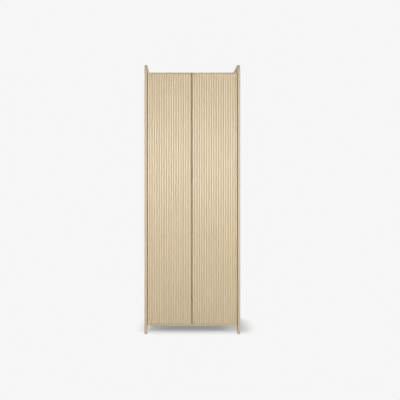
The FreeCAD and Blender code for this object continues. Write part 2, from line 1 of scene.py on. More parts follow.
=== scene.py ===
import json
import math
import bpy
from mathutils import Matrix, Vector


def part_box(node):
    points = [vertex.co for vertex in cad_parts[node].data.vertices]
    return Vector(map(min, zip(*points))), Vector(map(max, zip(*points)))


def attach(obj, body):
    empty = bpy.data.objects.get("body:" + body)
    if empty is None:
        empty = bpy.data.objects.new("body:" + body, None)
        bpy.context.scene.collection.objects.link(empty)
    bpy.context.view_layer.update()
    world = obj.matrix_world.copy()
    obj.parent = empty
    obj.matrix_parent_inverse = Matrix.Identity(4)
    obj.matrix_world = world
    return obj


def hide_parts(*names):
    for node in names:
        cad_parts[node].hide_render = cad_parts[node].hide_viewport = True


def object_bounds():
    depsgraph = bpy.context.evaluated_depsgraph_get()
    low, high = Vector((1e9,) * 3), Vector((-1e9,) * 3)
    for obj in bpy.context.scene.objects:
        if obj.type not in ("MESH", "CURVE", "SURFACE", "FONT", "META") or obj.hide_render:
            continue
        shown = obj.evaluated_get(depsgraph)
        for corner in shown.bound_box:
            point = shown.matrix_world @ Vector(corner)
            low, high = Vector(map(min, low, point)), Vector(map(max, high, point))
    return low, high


bl_info = {
    "name": "Louvred Door Cabinet",
    "version": (1, 0, 0),
    "blender": (4, 5, 0),
    "location": "View3D > Sidebar > Cabinet",
    "description": "Models the gables, slats and fittings of a ribbed cabinet and sets its studio",
    "category": "Object",
}

import bmesh
import bpy
from mathutils import Vector

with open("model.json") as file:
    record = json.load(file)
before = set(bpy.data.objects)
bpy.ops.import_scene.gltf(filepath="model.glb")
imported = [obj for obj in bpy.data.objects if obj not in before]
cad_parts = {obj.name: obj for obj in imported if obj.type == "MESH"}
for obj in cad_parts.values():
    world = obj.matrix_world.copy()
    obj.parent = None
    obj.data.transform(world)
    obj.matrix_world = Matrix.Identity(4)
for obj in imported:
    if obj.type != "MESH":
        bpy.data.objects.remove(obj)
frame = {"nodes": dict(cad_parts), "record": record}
cad_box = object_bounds()

# Lengths are in metres, the front faces -Y, the origin is on the floor under the middle.
MM = 0.001
X, Y, Z = range(3)
NOWHERE, UP, DOWN, INWARDS = (0, 0, 0), (0, 0, 1), (0, 0, -1), (0, 1, 0)
SIDES = ("left", "right")
# Corners nearer than this are one corner, and corners this near to a plane lie on it.
SAME_CORNER = 0.001 * MM
ON_PLANE = 0.01 * MM
# The cosine past which an edge runs along an axis
STRAIGHT = 0.999


def linear(code):
    """The linear colour of an sRGB hex value."""
    parts = [int(code[start:start + 2], 16) / 255 for start in (1, 3, 5)]
    return [p / 12.92 if p <= 0.04045 else ((p + 0.055) / 1.055) ** 2.4 for p in parts]


# What a user would change


def length(label, description, default):
    return bpy.props.FloatProperty(
        name=label, description=description, default=default, min=0, precision=4, unit="LENGTH")


def colour(label, description, code):
    return bpy.props.FloatVectorProperty(
        name=label, description=description, default=linear(code), min=0, max=1, size=3,
        subtype="COLOR")


class CabinetSizes(bpy.types.PropertyGroup):
    gable_edge: length("Gable edge", "Radius of the round edges of the gables", 5 * MM)
    gable_top: length("Gable top", "Radius of the upper corners of the gables", 55 * MM)
    leg_depth: length("Leg depth", "Depth of a leg from front to back", 48 * MM)
    leg_corner: length("Leg corner", "Radius of the corners of the feet", 10 * MM)
    arch_height: length("Arch height", "Height of the cut-out between the legs", 50 * MM)
    arch_corner: length("Arch corner", "Radius of the corners of the cut-out", 26 * MM)
    slat_width: length("Slat width", "Width of a slat with its round nose", 10 * MM)
    slat_pitch: length("Slat pitch", "Distance from one slat to the next", 16 * MM)
    slat_end: length("Slat end", "Radius of the eased edges at the ends of a slat", 0.6 * MM)
    pin_collar: length("Pin collar", "Width of the collar of a shelf pin", 1.5 * MM)
    catch_edge: length("Catch edge", "Radius of the edges of a catch", 1.2 * MM)
    pole_plate: length("Pole plate", "Thickness of the steel plates beside a magnet", 1.5 * MM)
    strike_corner: length("Strike corner", "Radius of the corners of a strike plate", 0.8 * MM)


class CabinetColours(bpy.types.PropertyGroup):
    door_lacquer: colour("Door lacquer", "Beige of the doors and slats", "#DCCAAA")
    # The board beige is the door beige a tone darker: painted shade for the darker gables.
    board_lacquer: colour("Board lacquer", "Beige of the gables, boards and shelves", "#CCBA9C")
    back_lacquer: colour("Back lacquer", "Beige of the back panel", "#C9B797")
    beech: colour("Beech", "Raw wood of the dowels", "#C9A67C")
    casting: colour("Casting", "Nickel plate of the cam discs", "#B4B2AE")
    plated_steel: colour("Plated steel", "Zinc plate of screws, bolts and pins", "#C6C8CB")
    plated_sheet: colour("Plated sheet", "Zinc plate of brackets and strike plates", "#BCC0C4")
    nylon: colour("Nylon", "Natural nylon of the pivot bushes", "#E4E0D6")
    catch: colour("Catch", "Moulded plastic of the catches", "#C9B594")
    ferrite: colour("Ferrite", "Dark magnets of the catches", "#3A3A3C")
    # The glides' dark brown is partly painted shade for the contact shadow at the feet.
    glide: colour("Glide", "Moulded plastic of the glides", "#4E443A")
    backdrop: colour("Backdrop", "Pale grey of the floor and backdrop", "#F6F6F6")
    paper: colour("Paper", "Floor paper as it lights the cabinet", "#E1E1E1")
    # Shaded paper and shadow fill paint the floor's shadow: darker paper under a cool glow.
    painted_shadow_paper: colour("Shaded paper", "Floor paper in the shadow of the cabinet", "#BCBCBC")
    painted_shadow_glow: colour("Shadow fill", "Cool light that fills the shadow", "#F3FDFF")


# Modelling by hand


def select_only(*pieces):
    """Selects these pieces and no others, the first of them active."""
    bpy.ops.object.select_all(action="DESELECT")
    for piece in pieces:
        piece.select_set(True)
    bpy.context.view_layer.objects.active = pieces[0]


def open_mesh(name):
    """Names a new primitive, moves its place and size into its mesh and enters edit mode."""
    piece = bpy.context.object
    piece.name = piece.data.name = name
    bpy.ops.object.transform_apply(location=True, rotation=True, scale=True)
    bpy.ops.object.mode_set(mode="EDIT")
    return piece


def close_mesh():
    """Leaves edit mode with doubles merged and faces outwards."""
    bpy.ops.mesh.select_all(action="SELECT")
    bpy.ops.mesh.remove_doubles(threshold=SAME_CORNER)
    bpy.ops.mesh.normals_make_consistent(inside=False)
    bpy.ops.object.mode_set(mode="OBJECT")


def start_block(name, low, high):
    """A block between two corners, in edit mode."""
    low, high = Vector(low), Vector(high)
    bpy.ops.object.select_all(action="DESELECT")
    bpy.ops.mesh.primitive_cube_add(size=1, location=(low + high) / 2)
    bpy.context.object.scale = high - low
    return open_mesh(name)


def start_turned(name, rings, steps=32):
    """A round piece about Z in edit mode, drawn up from its foot through rings of (radius,
    height)."""
    bpy.ops.object.select_all(action="DESELECT")
    radius, height = rings[0]
    bpy.ops.mesh.primitive_circle_add(
        vertices=steps, radius=radius, fill_type="NGON", location=(0, 0, height))
    piece = open_mesh(name)
    bpy.ops.mesh.select_all(action="SELECT")
    for wider, higher in rings[1:]:
        bpy.ops.mesh.extrude_region_move(
            TRANSFORM_OT_translate={"value": (0, 0, higher - height)})
        bpy.ops.transform.resize(
            value=(wider / radius, wider / radius, 1), center_override=(0, 0, higher))
        radius, height = wider, higher
    return piece


def pick(piece, kind, wanted):
    """Selects the edges or faces of a piece in edit mode that the test picks."""
    bpy.ops.mesh.select_mode(type={"edges": "EDGE", "faces": "FACE"}[kind])
    bpy.ops.mesh.select_all(action="DESELECT")
    mesh = bmesh.from_edit_mesh(piece.data)
    picked = [item for item in getattr(mesh, kind) if wanted(item)]
    if not picked:
        raise RuntimeError(f"{piece.name}: no {kind} to shape")
    for item in picked:
        item.select_set(True)
    mesh.select_flush_mode()
    bmesh.update_edit_mesh(piece.data)


def lies_at(edge, axis, place):
    """True for an edge whose two ends have this coordinate."""
    return all(abs(corner.co[axis] - place) < ON_PLANE for corner in edge.verts)


def runs_along(edge, axis):
    """True for an edge that is parallel to an axis."""
    way = (edge.verts[1].co - edge.verts[0].co).normalized()
    return abs(way[axis]) > STRAIGHT


def round_off(piece, radius, segments, wanted=lambda edge: True):
    """Rounds the edges that the test picks, or all of them."""
    pick(piece, "edges", wanted)
    bpy.ops.mesh.bevel(offset=radius, segments=segments, affect="EDGES", clamp_overlap=False)


def apply_modifier(piece, kind, **settings):
    """Adds a modifier with its settings and applies it."""
    modifier = piece.modifiers.new(kind.lower(), kind)
    for name, value in settings.items():
        setattr(modifier, name, value)
    select_only(piece)
    bpy.ops.object.modifier_apply(modifier=modifier.name)


def smooth(piece, angle=40):
    """Smooths the edges of up to this many degrees beside flat faces."""
    select_only(piece)
    bpy.ops.object.shade_smooth_by_angle(angle=math.radians(angle))
    apply_modifier(piece, "WEIGHTED_NORMAL", keep_sharp=True, weight=100)


def cut_away(piece, cutter):
    """Takes the volume of a cutter, which is still in edit mode, out of a piece."""
    close_mesh()
    apply_modifier(piece, "BOOLEAN", operation="DIFFERENCE", solver="EXACT", object=cutter)
    bpy.data.objects.remove(cutter)


def cut_cross(piece, top, reach, half_width, depth):
    """Cuts the cross of a screwdriver into the upper end of a piece about Z."""
    for across, along in ((reach, half_width), (half_width, reach)):
        cut_away(piece, start_block(
            "cross_cutter", (-across, -along, top - depth), (across, along, top + depth)))


def spread(piece, spots):
    """Makes one piece of copies of a piece about Z, each at its place and pointing its way."""
    copies = []
    for place, way in spots:
        select_only(piece)
        bpy.ops.object.duplicate(linked=False)
        copy = bpy.context.object
        copy.location = place
        copy.rotation_euler = Vector(UP).rotation_difference(Vector(way)).to_euler()
        copies.append(copy)
    select_only(*copies)
    bpy.ops.object.transform_apply(location=True, rotation=True, scale=True)
    bpy.ops.object.join()
    name, joined = piece.name, copies[0]
    bpy.data.objects.remove(piece)
    joined.name = joined.data.name = name
    return joined


def solids_of(name):
    """The lowest and highest corner of each separate solid of a CAD node, sorted by place to
    a tenth of a millimetre."""
    mesh = bmesh.new()
    mesh.from_mesh(frame["nodes"][name].data)
    bmesh.ops.remove_doubles(mesh, verts=mesh.verts, dist=SAME_CORNER)
    waiting, boxes = set(mesh.verts), []
    while waiting:
        found = [waiting.pop()]
        for corner in found:
            near = {edge.other_vert(corner) for edge in corner.link_edges} & waiting
            waiting -= near
            found.extend(near)
        places = [corner.co for corner in found]
        boxes.append((Vector(map(min, *places)), Vector(map(max, *places))))
    mesh.free()
    return sorted(boxes, key=lambda box: tuple(round(part, 4) for part in box[0]))


def middles(boxes):
    return [(low + high) / 2 for low, high in boxes]


def hand_over(piece, finish_name, body, *nodes):
    """Gives a finished piece its finish, its body and the CAD nodes that it stands for."""
    piece.data.materials.clear()
    piece.data.materials.append(finish(finish_name))
    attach(piece, body)
    if nodes:
        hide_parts(*nodes)


# Finishes

# Sockets of a Mix node between colours, and the values that most of a noise lies between
FACTOR, FIRST, SECOND, MIXED = 0, 6, 7, 2
NOISE_LOW, NOISE_HIGH = 0.3, 0.7
# Painted shade in the grooves between the slats: the share of the colour that it leaves. It
# deepens from this far behind a slat's nose to the slat's root, and is gone this far behind a
# door's face.
GROOVE_SHADE_LEFT = 0.85
SHADE_FROM_NOSE, SHADE_BEHIND_FACE = 3 * MM, 1 * MM


def opaque(shade):
    return [*shade, 1]


def add_node(tree, kind, inputs=None, **settings):
    """Adds a node with its settings, and fills or links its inputs."""
    node = tree.nodes.new(kind)
    for name, value in settings.items():
        setattr(node, name, value)
    for socket, value in (inputs or {}).items():
        if isinstance(value, bpy.types.NodeSocket):
            tree.links.new(value, node.inputs[socket])
        else:
            node.inputs[socket].default_value = value
    return node


def make_finish(name, shade, cell, change, rough, grain, height, thin=None, **sockets):
    """A surface whose colour drifts by a share over cells of x, y and z millimetres, whose
    roughness drifts between two values, and which has grains of a size and height in mm.
    Where thin gives two places in y, painted shade darkens its colour from none at the
    first of them to the full share at the second."""
    material = bpy.data.materials.new(name)
    material.use_nodes = True
    tree = material.node_tree
    surface = tree.nodes["Principled BSDF"]
    spot = add_node(tree, "ShaderNodeTexCoord").outputs["Object"]
    stretched = add_node(tree, "ShaderNodeMapping", {
        "Vector": spot, "Scale": [1 / (size * MM) for size in cell]}).outputs["Vector"]
    drift = add_node(tree, "ShaderNodeTexNoise", {"Vector": stretched, "Scale": 1, "Detail": 3})
    dark = opaque(part * (1 - change) for part in shade)
    pale = opaque(min(1, part * (1 + change)) for part in shade)
    tint = add_node(
        tree, "ShaderNodeMix", {FACTOR: drift.outputs["Fac"], FIRST: dark, SECOND: pale},
        data_type="RGBA")
    gloss = add_node(tree, "ShaderNodeMapRange", {
        "Value": drift.outputs["Fac"], "From Min": NOISE_LOW, "From Max": NOISE_HIGH,
        "To Min": rough[0], "To Max": rough[1]})
    grains = add_node(tree, "ShaderNodeTexNoise", {
        "Vector": spot, "Scale": 1 / (grain * MM), "Detail": 1})
    relief = add_node(tree, "ShaderNodeBump", {
        "Height": grains.outputs["Fac"], "Strength": 1, "Distance": height * MM})
    # Painted shade: the colour darkens towards the slat roots and on the door face between slats.
    if thin:
        unshaded_at, shaded_at = thin
        depth = add_node(tree, "ShaderNodeSeparateXYZ", {"Vector": spot})
        groove_shade_share = add_node(tree, "ShaderNodeMapRange", {
            "Value": depth.outputs["Y"], "From Min": unshaded_at, "From Max": shaded_at,
            "To Min": 1, "To Max": GROOVE_SHADE_LEFT})
        tint = add_node(
            tree, "ShaderNodeMix",
            {FACTOR: 1, FIRST: tint.outputs[MIXED], SECOND: groove_shade_share.outputs["Result"]},
            data_type="RGBA", blend_type="MULTIPLY")
    tree.links.new(tint.outputs[MIXED], surface.inputs["Base Color"])
    tree.links.new(gloss.outputs["Result"], surface.inputs["Roughness"])
    tree.links.new(relief.outputs["Normal"], surface.inputs["Normal"])
    for socket, value in sockets.items():
        surface.inputs[socket.replace("_", " ")].default_value = value
    return material


def make_finishes(shades):
    """All finishes of the cabinet, under the names of the record's slots."""
    # Most grains are too fine to show, so they are drawn coarser: the orange peel of sprayed
    # lacquer, really 1 to 2 mm wide, at 4 mm, and the skins of castings, turned and rolled
    # steel, mouldings and ground ferrite, really 0.05 to 0.3 mm, at 0.4 to 0.8 mm.
    slat_front, slat_root = (corner.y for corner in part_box("left_door_slats"))
    return {
        # Pigmented lacquer, sprayed matt on fibreboard: an even opaque beige with little
        # sheen, a faint drift of tone from coat to coat and a soft orange peel. Its beige is the
        # door lacquer a tone darker, as painted shade.
        "lacquered_board": make_finish(
            "matt_lacquer_sprayed_on_board", shades.board_lacquer, cell=(300, 300, 300),
            change=0.03, rough=(0.60, 0.70), grain=4, height=0.01, IOR=1.5),
        # The door lacquer, paler than the boards, with painted shade between the slats.
        "lacquered_door": make_finish(
            "matt_lacquer_sprayed_on_door_board", shades.door_lacquer, cell=(300, 300, 300),
            change=0.03, rough=(0.60, 0.70), grain=4, height=0.01,
            thin=(slat_root + SHADE_BEHIND_FACE, slat_root), IOR=1.5),
        # The same lacquer on planed slats under a clear silk coat: a sheen along the round
        # noses, a tone that follows the wood, and painted shade darkening it towards the roots.
        "lacquered_slat": make_finish(
            "silk_lacquer_sprayed_on_slats", shades.door_lacquer, cell=(40, 40, 700),
            change=0.03, rough=(0.34, 0.42), grain=4, height=0.004,
            thin=(slat_front + SHADE_FROM_NOSE, slat_root), IOR=1.5, Coat_Weight=1.0,
            Coat_Roughness=0.32),
        # One coat, rolled on the back panel: a little darker, with long faint streaks.
        "lacquered_back": make_finish(
            "thin_lacquer_rolled_on_panel", shades.back_lacquer, cell=(60, 60, 500),
            change=0.04, rough=(0.48, 0.58), grain=2, height=0.004, IOR=1.5),
        # Raw beech, turned: dull pale wood with short dark flecks along the dowel.
        "beech_dowel": make_finish(
            "raw_beech_turned", shades.beech, cell=(12, 1.2, 1.2),
            change=0.18, rough=(0.65, 0.80), grain=0.8, height=0.03, IOR=1.5),
        # Die-cast zinc, nickel plated: grey metal, soft broken reflections from a cast skin.
        "zinc_casting": make_finish(
            "zinc_die_cast_nickel_plated", shades.casting, cell=(4, 4, 4),
            change=0.08, rough=(0.32, 0.46), grain=0.7, height=0.01, Metallic=1),
        # Turned steel, bright zinc plated: clean reflections with fine tool marks.
        "bright_steel": make_finish(
            "steel_turned_zinc_plated", shades.plated_steel, cell=(6, 6, 6),
            change=0.06, rough=(0.22, 0.32), grain=0.6, height=0.003, Metallic=1),
        # Rolled steel sheet, zinc plated: a bluish grey with faint rolling streaks.
        "zinc_plated_sheet": make_finish(
            "steel_sheet_rolled_zinc_plated", shades.plated_sheet, cell=(30, 1.5, 1.5),
            change=0.07, rough=(0.30, 0.44), grain=0.8, height=0.004, Metallic=1),
        # Natural nylon, moulded: milky white with a waxy sheen.
        "nylon_bush": make_finish(
            "natural_nylon_moulded", shades.nylon, cell=(5, 5, 5),
            change=0.03, rough=(0.38, 0.48), grain=0.5, height=0.004, IOR=1.53),
        # ABS, moulded in a spark-eroded tool: an even dull skin with fine grain.
        "catch_plastic": make_finish(
            "abs_moulded_fine_grain", shades.catch, cell=(20, 20, 20),
            change=0.03, rough=(0.45, 0.55), grain=0.6, height=0.02, IOR=1.54),
        # Ferrite, sintered and ground: nearly black ceramic with a dry grey bloom.
        "ferrite": make_finish(
            "ferrite_sintered_ground", shades.ferrite, cell=(2, 2, 2),
            change=0.20, rough=(0.50, 0.65), grain=0.4, height=0.01, IOR=2.3),
        # Polyethylene, moulded: dull dark brown, waxy, scuffed where it slides. The dark brown
        # also stands in for the contact shadow under the feet, as painted shade.
        "glide_plastic": make_finish(
            "polyethylene_moulded", shades.glide, cell=(3, 3, 3),
            change=0.08, rough=(0.42, 0.60), grain=0.6, height=0.02, IOR=1.51),
    }


FINISHES = {}


def finish(name):
    """A finish by its slot's name. The first call makes them all."""
    if not FINISHES:
        FINISHES.update(make_finishes(bpy.context.scene.cabinet_colours))
    return FINISHES[name]


# Pieces


class CABINET_OT_cad_nodes(bpy.types.Operator):
    """Gives every CAD node the finish of its slot in the record"""
    bl_idname = "cabinet.cad_nodes"
    bl_label = "CAD finishes"

    def execute(self, context):
        for part in frame["record"]["subparts"]:
            materials = frame["nodes"][part["node"]].data.materials
            materials.clear()
            materials.append(finish(part["material_slot"]))
        return {"FINISHED"}


class CABINET_OT_gables(bpy.types.Operator):
    """Models the two gables as plates with round edges that end in legs"""
    bl_idname = "cabinet.gables"
    bl_label = "Gables"

    def execute(self, context):
        sizes = context.scene.cabinet_sizes
        for side in SIDES:
            low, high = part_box(f"{side}_gable")
            leg, arch = high.y - sizes.leg_depth, sizes.arch_height
            plate = start_block(f"{side}_gable_plate", low, high)
            lines = (((0, leg, 0), INWARDS), ((0, -leg, 0), INWARDS), ((0, 0, arch), UP))
            for spot, way in lines:
                bpy.ops.mesh.select_all(action="SELECT")
                bpy.ops.mesh.bisect(plane_co=spot, plane_no=way)
            pick(plate, "faces", lambda face: (
                abs(face.calc_center_median().y) < leg and face.calc_center_median().z < arch))
            bpy.ops.mesh.delete(type="FACE")
            for axis, place in ((Y, leg), (Y, -leg), (Z, arch)):
                pick(plate, "edges", lambda edge: (
                    edge.is_boundary and lies_at(edge, axis, place) and not runs_along(edge, X)))
                bpy.ops.mesh.edge_face_add()
            bpy.ops.mesh.select_all(action="SELECT")
            bpy.ops.mesh.dissolve_limited(angle_limit=math.radians(1))
            corners = (
                (sizes.gable_top, 16, high.z), (sizes.arch_corner, 10, arch),
                (sizes.leg_corner, 6, low.z))
            for radius, segments, height in corners:
                round_off(plate, radius, segments, lambda edge: (
                    runs_along(edge, X) and lies_at(edge, Z, height)))
            round_off(plate, sizes.gable_edge, segments=8, wanted=lambda edge: (
                lies_at(edge, X, low.x) or lies_at(edge, X, high.x)))
            close_mesh()
            smooth(plate)
            hand_over(plate, "lacquered_board", "carcass", f"{side}_gable")
        return {"FINISHED"}


# What the two rounds of a slat's nose leave between them, so that they don't meet
NOSE_FLAT = 0.02 * MM


class CABINET_OT_slats(bpy.types.Operator):
    """Models one slat with a round nose and sets a row of them on each door"""
    bl_idname = "cabinet.slats"
    bl_label = "Door slats"

    def execute(self, context):
        sizes = context.scene.cabinet_sizes
        for side in SIDES:
            low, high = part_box(f"{side}_door_slats")
            reach = high.x - low.x - sizes.slat_width
            steps = round(reach / sizes.slat_pitch)
            row = start_block(
                f"{side}_slat_row", low, (low.x + sizes.slat_width, high.y, high.z))
            round_off(row, (sizes.slat_width - NOSE_FLAT) / 2, segments=8, wanted=lambda edge: (
                runs_along(edge, Z) and lies_at(edge, Y, low.y)))
            round_off(row, sizes.slat_end, segments=2, wanted=lambda edge: (
                (lies_at(edge, Z, low.z) or lies_at(edge, Z, high.z))
                and not lies_at(edge, Y, high.y)))
            close_mesh()
            smooth(row, angle=50)
            apply_modifier(
                row, "ARRAY", count=steps + 1, use_relative_offset=False,
                use_constant_offset=True, constant_offset_displace=(reach / steps, 0, 0))
            hand_over(row, "lacquered_slat", f"{side}_door", f"{side}_door_slats")
        return {"FINISHED"}


# Bevels of a shelf pin at its inner and outer end, and the thickness and bevel of its collar
PIN_FOOT, PIN_NOSE = 0.6 * MM, 0.8 * MM
COLLAR_THICKNESS, COLLAR_BEVEL = 0.8 * MM, 0.3 * MM


class CABINET_OT_shelf_pins(bpy.types.Operator):
    """Models one shelf pin with a collar and sets one in every hole"""
    bl_idname = "cabinet.shelf_pins"
    bl_label = "Shelf pins"

    def execute(self, context):
        pins = solids_of("shelf_pins")
        low, high = pins[0]
        radius, half = (high.z - low.z) / 2, (high.x - low.x) / 2
        collar = radius + context.scene.cabinet_sizes.pin_collar
        pin = start_turned("shelf_pin_set", [
            (radius - PIN_FOOT, -half), (radius, PIN_FOOT - half), (radius, 0), (collar, 0),
            (collar, COLLAR_THICKNESS - COLLAR_BEVEL), (collar - COLLAR_BEVEL, COLLAR_THICKNESS),
            (radius, COLLAR_THICKNESS), (radius, half - PIN_NOSE), (radius - PIN_NOSE, half)],
            steps=24)
        close_mesh()
        smooth(pin)
        spots = [(middle, (-math.copysign(1, middle.x), 0, 0)) for middle in middles(pins)]
        hand_over(spread(pin, spots), "bright_steel", "carcass", "shelf_pins")
        return {"FINISHED"}


# Bevels of a cam disc at its inner and outer end, and the reach, half width and depth of its
# cross
DISC_FOOT, DISC_RIM = 0.5 * MM, 0.6 * MM
DISC_CROSS = (4.2 * MM, 0.9 * MM, 2.5 * MM)


class CABINET_OT_cam_discs(bpy.types.Operator):
    """Models one cam disc with its cross and sets one in every board end"""
    bl_idname = "cabinet.cam_discs"
    bl_label = "Cam discs"

    def execute(self, context):
        discs = solids_of("cam_discs")
        low, high = discs[0]
        radius, half = (high.x - low.x) / 2, (high.z - low.z) / 2
        disc = start_turned("cam_disc_set", [
            (radius - DISC_FOOT, -half), (radius, DISC_FOOT - half), (radius, half - DISC_RIM),
            (radius - DISC_RIM, half)], steps=40)
        close_mesh()
        cut_cross(disc, half, *DISC_CROSS)
        smooth(disc, angle=30)
        spots = [(middle, DOWN) for middle in middles(discs)]
        hand_over(spread(disc, spots), "zinc_casting", "carcass", "cam_discs")
        return {"FINISHED"}


# Room round a magnet in its housing, how far it lies behind its pole plates, and the edges
MAGNET_ROOM = 0.1 * MM
MAGNET_SUNK = 0.5 * MM
MAGNET_EDGE, POLE_EDGE = 0.3 * MM, 0.25 * MM


class CABINET_OT_catches(bpy.types.Operator):
    """Models the two catches with their magnets between steel plates"""
    bl_idname = "cabinet.catches"
    bl_label = "Magnetic catches"

    def execute(self, context):
        sizes = context.scene.cabinet_sizes
        magnets = solids_of("catch_magnets")
        room = Vector((1, 1, 1)) * MAGNET_ROOM
        for level in ("upper", "lower"):
            node = f"{level}_catch_housing"
            housing = start_block(f"{level}_catch_body", *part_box(node))
            round_off(housing, sizes.catch_edge, segments=4)
            close_mesh()
            for low, high in magnets:
                cut_away(housing, start_block("pocket_cutter", low - room, high + room))
            smooth(housing)
            hand_over(housing, "catch_plastic", "carcass", node)

        half = (magnets[0][1] - magnets[0][0]) / 2
        plate = Vector((sizes.pole_plate, 0, 0))
        sunk = Vector((0, MAGNET_SUNK, 0))
        block = start_block("catch_magnet_set", plate + sunk - half, half - plate)
        round_off(block, MAGNET_EDGE, segments=2)
        close_mesh()
        smooth(block)
        pole = start_block("catch_pole_plates", -half, half - 2 * Vector((half.x, 0, 0)) + plate)
        round_off(pole, POLE_EDGE, segments=2)
        close_mesh()
        smooth(pole)
        places = middles(magnets)
        across = 2 * half.x - sizes.pole_plate
        pole_places = places + [place + Vector((across, 0, 0)) for place in places]
        hand_over(
            spread(block, [(place, UP) for place in places]),
            "ferrite", "carcass", "catch_magnets")
        hand_over(
            spread(pole, [(place, UP) for place in pole_places]), "bright_steel", "carcass")
        return {"FINISHED"}


# Edge of a strike plate, and the radii of its hole at the back and at the sunk front
STRIKE_EDGE = 0.25 * MM
STRIKE_HOLE, STRIKE_SINK = 1.55 * MM, 2.75 * MM


class CABINET_OT_strikes(bpy.types.Operator):
    """Models one strike plate with a sunk hole and sets two on each door"""
    bl_idname = "cabinet.strikes"
    bl_label = "Strike plates"

    def execute(self, context):
        sizes = context.scene.cabinet_sizes
        for side in SIDES:
            plates = solids_of(f"{side}_strike_plates")
            low, high = plates[0]
            wide, thick, tall = high - low
            plate = start_block(
                f"{side}_strike_plate_pair", (-wide / 2, -tall / 2, -thick / 2),
                (wide / 2, tall / 2, thick / 2))
            round_off(
                plate, sizes.strike_corner, segments=5, wanted=lambda edge: runs_along(edge, Z))
            round_off(
                plate, STRIKE_EDGE, segments=2, wanted=lambda edge: lies_at(edge, Z, thick / 2))
            close_mesh()
            cut_away(plate, start_turned("sink_cutter", [
                (STRIKE_HOLE, -thick), (STRIKE_HOLE, -thick / 2), (STRIKE_SINK, thick / 2),
                (STRIKE_SINK, thick)]))
            smooth(plate, angle=30)
            hand_over(
                spread(plate, [(middle, INWARDS) for middle in middles(plates)]),
                "zinc_plated_sheet", f"{side}_door", f"{side}_strike_plates")
        return {"FINISHED"}


# Strike screws: radii of tip and shank, lengths of point, cone and rim, the rim's bevel, and
# the reach, half width and depth of the cross
STRIKE_TIP, STRIKE_SHANK = 0.5 * MM, 1.5 * MM
STRIKE_POINT, STRIKE_CONE, STRIKE_RIM = 2.5 * MM, 1.5 * MM, 0.15 * MM
STRIKE_BEVEL = 0.1 * MM
STRIKE_CROSS = (1.5 * MM, 0.35 * MM, 1.1 * MM)
# Round-headed screws: CAD node, name, radius of the shank and height of the head
DOMED_SCREWS = (
    ("catch_screws", "catch_screw_set", 1.5 * MM, 2 * MM),
    ("wall_bracket_screws", "bracket_screw_set", 2 * MM, 2.5 * MM),
)
DOMED_TIP, DOMED_POINT, DOMED_BEVEL = 0.4, 3 * MM, 0.2 * MM
# The dome, and the reach, half width and depth of its cross, in shares of the head
DOME = ((1, 0.35), (0.92, 0.65), (0.76, 0.88), (0.5, 1))
DOMED_REACH, DOMED_HALF_WIDTH, DOMED_DEPTH = 0.55, 0.12, 0.7


class CABINET_OT_screws(bpy.types.Operator):
    """Models the sunk and the round-headed screws and sets them in their holes"""
    bl_idname = "cabinet.screws"
    bl_label = "Screws"

    def execute(self, context):
        for side in SIDES:
            node = f"{side}_strike_screws"
            screws = solids_of(node)
            low, high = screws[0]
            head, long = (high.x - low.x) / 2, high.y - low.y
            screw = start_turned(f"{side}_strike_screw_pair", [
                (STRIKE_TIP, -long), (STRIKE_SHANK, STRIKE_POINT - long),
                (STRIKE_SHANK, -STRIKE_CONE), (head, -STRIKE_RIM), (head - STRIKE_BEVEL, 0)])
            close_mesh()
            cut_cross(screw, 0, *STRIKE_CROSS)
            smooth(screw, angle=30)
            spots = [((middle.x, high.y, middle.z), INWARDS) for middle in middles(screws)]
            hand_over(spread(screw, spots), "bright_steel", f"{side}_door", node)

        halfway = (cad_box[0][Z] + cad_box[1][Z]) / 2
        for node, name, shank, tall in DOMED_SCREWS:
            screws = solids_of(node)
            low, high = screws[0]
            head, long = (high.x - low.x) / 2, high.z - low.z - tall
            screw = start_turned(name, [
                (DOMED_TIP * shank, -long), (shank, DOMED_POINT - long), (shank, 0),
                (head - DOMED_BEVEL, 0), (head, DOMED_BEVEL),
                *((across * head, up * tall) for across, up in DOME)])
            close_mesh()
            cut_cross(
                screw, tall, DOMED_REACH * head, DOMED_HALF_WIDTH * head, DOMED_DEPTH * tall)
            smooth(screw, angle=30)
            spots = []
            for (low, high), middle in zip(screws, middles(screws)):
                under_top = node == "catch_screws" and middle.z > halfway
                seat = low.z + tall if under_top else high.z - tall
                spots.append(((middle.x, middle.y, seat), DOWN if under_top else UP))
            hand_over(spread(screw, spots), "bright_steel", "carcass", node)
        return {"FINISHED"}


# A glide's dome as insets and heights, the height of its cap, and its nail: radii of shank and
# tip, and length of the point
GLIDE_DOME = ((1.2 * MM, 0), (0.4 * MM, 0.3 * MM), (0, 0.9 * MM))
GLIDE_CAP = 2 * MM
NAIL_SHANK, NAIL_TIP, NAIL_POINT = 1.75 * MM, 0.5 * MM, 2 * MM


class CABINET_OT_glides(bpy.types.Operator):
    """Models one domed glide with its nail and sets one under each leg"""
    bl_idname = "cabinet.glides"
    bl_label = "Foot glides"

    def execute(self, context):
        glides = solids_of("foot_glides")
        low, high = glides[0]
        radius, tall = (high.x - low.x) / 2, high.z
        glide = start_turned("foot_glide_set", [
            *((radius - inset, height) for inset, height in GLIDE_DOME), (radius, GLIDE_CAP),
            (NAIL_SHANK, GLIDE_CAP), (NAIL_SHANK, tall - NAIL_POINT), (NAIL_TIP, tall)])
        close_mesh()
        smooth(glide)
        spots = [((middle.x, middle.y, 0), UP) for middle in middles(glides)]
        hand_over(spread(glide, spots), "glide_plastic", "carcass", "foot_glides")
        return {"FINISHED"}


# Studio

